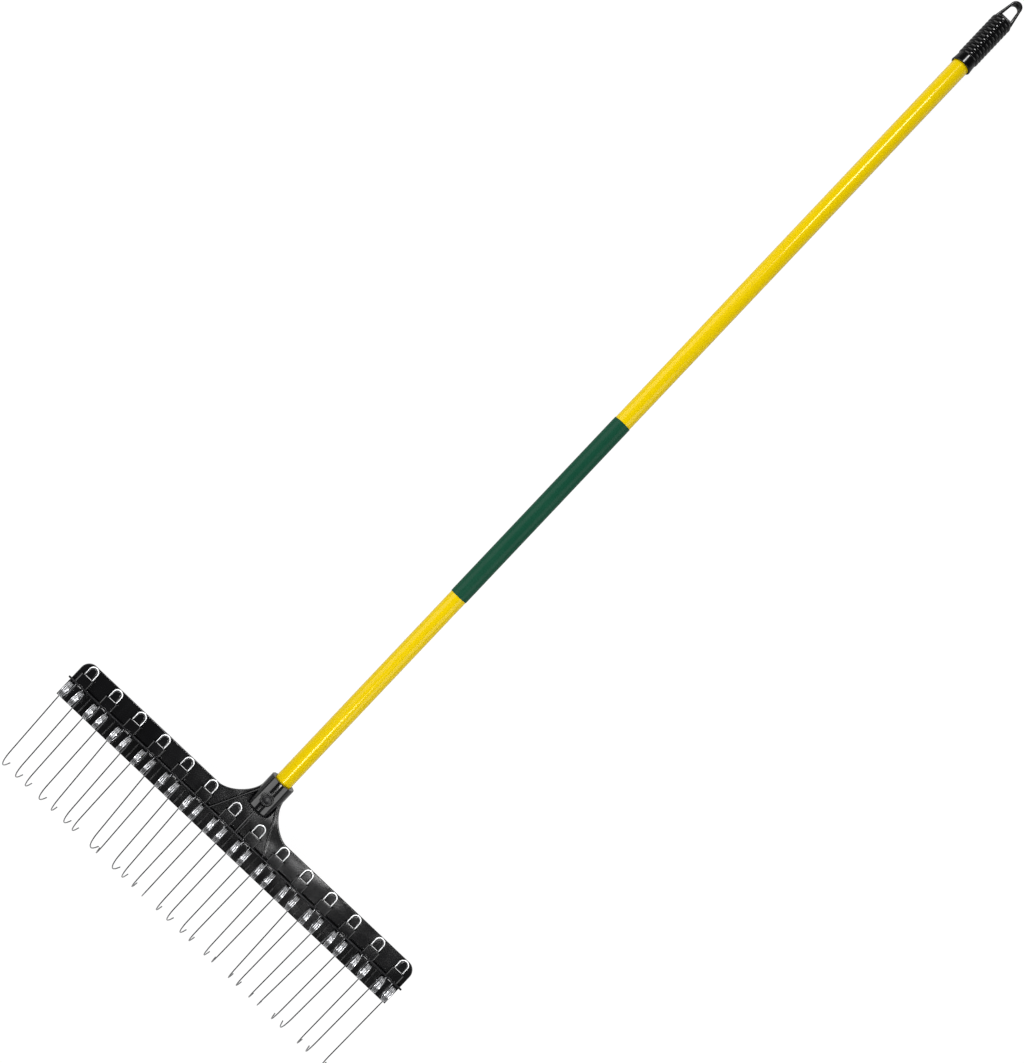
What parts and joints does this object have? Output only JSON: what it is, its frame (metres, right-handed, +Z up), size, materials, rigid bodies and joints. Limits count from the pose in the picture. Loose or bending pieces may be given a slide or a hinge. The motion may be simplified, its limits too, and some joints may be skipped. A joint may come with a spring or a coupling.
{
  "type": "thatch rake",
  "caption": "Thatch rake with a straight tube handle, a ringed end grip with a hanging loop, and a wide moulded head of sprung wire tines whose tips hook back.",
  "frame": {"origin": "on the ground, under the middle of the rake's length and width, as it lies front side up on its tine tips and its end grip", "axes": "+X along the head, +Y along the handle towards the hanging loop, +Z up, away from the ground"},
  "size_m": [0.53, 1.4739, 0.0859],
  "materials": {
    "head_plastic": "black moulded plastic, satin",
    "handle_yellow": "yellow glass fibre tube, glossy",
    "grip_vinyl": "black vinyl, satin",
    "label_green": "dark green printed film, bare",
    "spring_wire": "bright zinc-plated spring wire",
    "dark_steel": "black-finished steel"
  },
  "bodies": {
    "rake": {"rake_head": "head_plastic", "handle_tube": "handle_yellow", "end_grip": "grip_vinyl", "label_sleeve": "label_green", "socket_screw": "dark_steel", "retaining_rod": "dark_steel", "spring_01": "spring_wire", "spring_02": "spring_wire", "spring_03": "spring_wire", "spring_04": "spring_wire", "spring_05": "spring_wire", "spring_06": "spring_wire", "spring_07": "spring_wire", "spring_08": "spring_wire", "spring_09": "spring_wire", "spring_10": "spring_wire", "spring_11": "spring_wire", "spring_12": "spring_wire", "spring_13": "spring_wire", "spring_14": "spring_wire"},
    "tine_01": {"tine_01": "spring_wire"},
    "tine_02": {"tine_02": "spring_wire"},
    "tine_03": {"tine_03": "spring_wire"},
    "tine_04": {"tine_04": "spring_wire"},
    "tine_05": {"tine_05": "spring_wire"},
    "tine_06": {"tine_06": "spring_wire"},
    "tine_07": {"tine_07": "spring_wire"},
    "tine_08": {"tine_08": "spring_wire"},
    "tine_09": {"tine_09": "spring_wire"},
    "tine_10": {"tine_10": "spring_wire"},
    "tine_11": {"tine_11": "spring_wire"},
    "tine_12": {"tine_12": "spring_wire"},
    "tine_13": {"tine_13": "spring_wire"},
    "tine_14": {"tine_14": "spring_wire"},
    "tine_15": {"tine_15": "spring_wire"},
    "tine_16": {"tine_16": "spring_wire"},
    "tine_17": {"tine_17": "spring_wire"},
    "tine_18": {"tine_18": "spring_wire"},
    "tine_19": {"tine_19": "spring_wire"},
    "tine_20": {"tine_20": "spring_wire"},
    "tine_21": {"tine_21": "spring_wire"},
    "tine_22": {"tine_22": "spring_wire"},
    "tine_23": {"tine_23": "spring_wire"},
    "tine_24": {"tine_24": "spring_wire"},
    "tine_25": {"tine_25": "spring_wire"},
    "tine_26": {"tine_26": "spring_wire"},
    "tine_27": {"tine_27": "spring_wire"},
    "tine_28": {"tine_28": "spring_wire"}
  },
  "joints": [
    {"name": "tine_01_flex", "type": "hinge", "parent": "rake", "child": "tine_01", "pos_m": [-0.25832, -0.59908, 0.07572], "axis": [-1, 0, 0], "range_deg": [0, 30], "stiffness_Nm_per_rad": 0.3, "springref_deg": -4.01},
    {"name": "tine_02_flex", "type": "hinge", "parent": "rake", "child": "tine_02", "pos_m": [-0.23698, -0.59908, 0.07572], "axis": [-1, 0, 0], "range_deg": [0, 30], "stiffness_Nm_per_rad": 0.3, "springref_deg": -4.01},
    {"name": "tine_03_flex", "type": "hinge", "parent": "rake", "child": "tine_03", "pos_m": [-0.22022, -0.59908, 0.07572], "axis": [-1, 0, 0], "range_deg": [0, 30], "stiffness_Nm_per_rad": 0.3, "springref_deg": -4.01},
    {"name": "tine_04_flex", "type": "hinge", "parent": "rake", "child": "tine_04", "pos_m": [-0.19888, -0.59908, 0.07572], "axis": [-1, 0, 0], "range_deg": [0, 30], "stiffness_Nm_per_rad": 0.3, "springref_deg": -4.01},
    {"name": "tine_05_flex", "type": "hinge", "parent": "rake", "child": "tine_05", "pos_m": [-0.18212, -0.59908, 0.07572], "axis": [-1, 0, 0], "range_deg": [0, 30], "stiffness_Nm_per_rad": 0.3, "springref_deg": -4.01},
    {"name": "tine_06_flex", "type": "hinge", "parent": "rake", "child": "tine_06", "pos_m": [-0.16078, -0.59908, 0.07572], "axis": [-1, 0, 0], "range_deg": [0, 30], "stiffness_Nm_per_rad": 0.3, "springref_deg": -4.01},
    {"name": "tine_07_flex", "type": "hinge", "parent": "rake", "child": "tine_07", "pos_m": [-0.14402, -0.59908, 0.07572], "axis": [-1, 0, 0], "range_deg": [0, 30], "stiffness_Nm_per_rad": 0.3, "springref_deg": -4.01},
    {"name": "tine_08_flex", "type": "hinge", "parent": "rake", "child": "tine_08", "pos_m": [-0.12268, -0.59908, 0.07572], "axis": [-1, 0, 0], "range_deg": [0, 30], "stiffness_Nm_per_rad": 0.3, "springref_deg": -4.01},
    {"name": "tine_09_flex", "type": "hinge", "parent": "rake", "child": "tine_09", "pos_m": [-0.10592, -0.59908, 0.07572], "axis": [-1, 0, 0], "range_deg": [0, 30], "stiffness_Nm_per_rad": 0.3, "springref_deg": -4.01},
    {"name": "tine_10_flex", "type": "hinge", "parent": "rake", "child": "tine_10", "pos_m": [-0.08458, -0.59908, 0.07572], "axis": [-1, 0, 0], "range_deg": [0, 30], "stiffness_Nm_per_rad": 0.3, "springref_deg": -4.01},
    {"name": "tine_11_flex", "type": "hinge", "parent": "rake", "child": "tine_11", "pos_m": [-0.06782, -0.59908, 0.07572], "axis": [-1, 0, 0], "range_deg": [0, 30], "stiffness_Nm_per_rad": 0.3, "springref_deg": -4.01},
    {"name": "tine_12_flex", "type": "hinge", "parent": "rake", "child": "tine_12", "pos_m": [-0.04648, -0.59908, 0.07572], "axis": [-1, 0, 0], "range_deg": [0, 30], "stiffness_Nm_per_rad": 0.3, "springref_deg": -4.01},
    {"name": "tine_13_flex", "type": "hinge", "parent": "rake", "child": "tine_13", "pos_m": [-0.02972, -0.59908, 0.07572], "axis": [-1, 0, 0], "range_deg": [0, 30], "stiffness_Nm_per_rad": 0.3, "springref_deg": -4.01},
    {"name": "tine_14_flex", "type": "hinge", "parent": "rake", "child": "tine_14", "pos_m": [-0.00838, -0.59908, 0.07572], "axis": [-1, 0, 0], "range_deg": [0, 30], "stiffness_Nm_per_rad": 0.3, "springref_deg": -4.01},
    {"name": "tine_15_flex", "type": "hinge", "parent": "rake", "child": "tine_15", "pos_m": [0.00838, -0.59908, 0.07572], "axis": [-1, 0, 0], "range_deg": [0, 30], "stiffness_Nm_per_rad": 0.3, "springref_deg": -4.01},
    {"name": "tine_16_flex", "type": "hinge", "parent": "rake", "child": "tine_16", "pos_m": [0.02972, -0.59908, 0.07572], "axis": [-1, 0, 0], "range_deg": [0, 30], "stiffness_Nm_per_rad": 0.3, "springref_deg": -4.01},
    {"name": "tine_17_flex", "type": "hinge", "parent": "rake", "child": "tine_17", "pos_m": [0.04648, -0.59908, 0.07572], "axis": [-1, 0, 0], "range_deg": [0, 30], "stiffness_Nm_per_rad": 0.3, "springref_deg": -4.01},
    {"name": "tine_18_flex", "type": "hinge", "parent": "rake", "child": "tine_18", "pos_m": [0.06782, -0.59908, 0.07572], "axis": [-1, 0, 0], "range_deg": [0, 30], "stiffness_Nm_per_rad": 0.3, "springref_deg": -4.01},
    {"name": "tine_19_flex", "type": "hinge", "parent": "rake", "child": "tine_19", "pos_m": [0.08458, -0.59908, 0.07572], "axis": [-1, 0, 0], "range_deg": [0, 30], "stiffness_Nm_per_rad": 0.3, "springref_deg": -4.01},
    {"name": "tine_20_flex", "type": "hinge", "parent": "rake", "child": "tine_20", "pos_m": [0.10592, -0.59908, 0.07572], "axis": [-1, 0, 0], "range_deg": [0, 30], "stiffness_Nm_per_rad": 0.3, "springref_deg": -4.01},
    {"name": "tine_21_flex", "type": "hinge", "parent": "rake", "child": "tine_21", "pos_m": [0.12268, -0.59908, 0.07572], "axis": [-1, 0, 0], "range_deg": [0, 30], "stiffness_Nm_per_rad": 0.3, "springref_deg": -4.01},
    {"name": "tine_22_flex", "type": "hinge", "parent": "rake", "child": "tine_22", "pos_m": [0.14402, -0.59908, 0.07572], "axis": [-1, 0, 0], "range_deg": [0, 30], "stiffness_Nm_per_rad": 0.3, "springref_deg": -4.01},
    {"name": "tine_23_flex", "type": "hinge", "parent": "rake", "child": "tine_23", "pos_m": [0.16078, -0.59908, 0.07572], "axis": [-1, 0, 0], "range_deg": [0, 30], "stiffness_Nm_per_rad": 0.3, "springref_deg": -4.01},
    {"name": "tine_24_flex", "type": "hinge", "parent": "rake", "child": "tine_24", "pos_m": [0.18212, -0.59908, 0.07572], "axis": [-1, 0, 0], "range_deg": [0, 30], "stiffness_Nm_per_rad": 0.3, "springref_deg": -4.01},
    {"name": "tine_25_flex", "type": "hinge", "parent": "rake", "child": "tine_25", "pos_m": [0.19888, -0.59908, 0.07572], "axis": [-1, 0, 0], "range_deg": [0, 30], "stiffness_Nm_per_rad": 0.3, "springref_deg": -4.01},
    {"name": "tine_26_flex", "type": "hinge", "parent": "rake", "child": "tine_26", "pos_m": [0.22022, -0.59908, 0.07572], "axis": [-1, 0, 0], "range_deg": [0, 30], "stiffness_Nm_per_rad": 0.3, "springref_deg": -4.01},
    {"name": "tine_27_flex", "type": "hinge", "parent": "rake", "child": "tine_27", "pos_m": [0.23698, -0.59908, 0.07572], "axis": [-1, 0, 0], "range_deg": [0, 30], "stiffness_Nm_per_rad": 0.3, "springref_deg": -4.01},
    {"name": "tine_28_flex", "type": "hinge", "parent": "rake", "child": "tine_28", "pos_m": [0.25832, -0.59908, 0.07572], "axis": [-1, 0, 0], "range_deg": [0, 30], "stiffness_Nm_per_rad": 0.3, "springref_deg": -4.01}
  ]
}
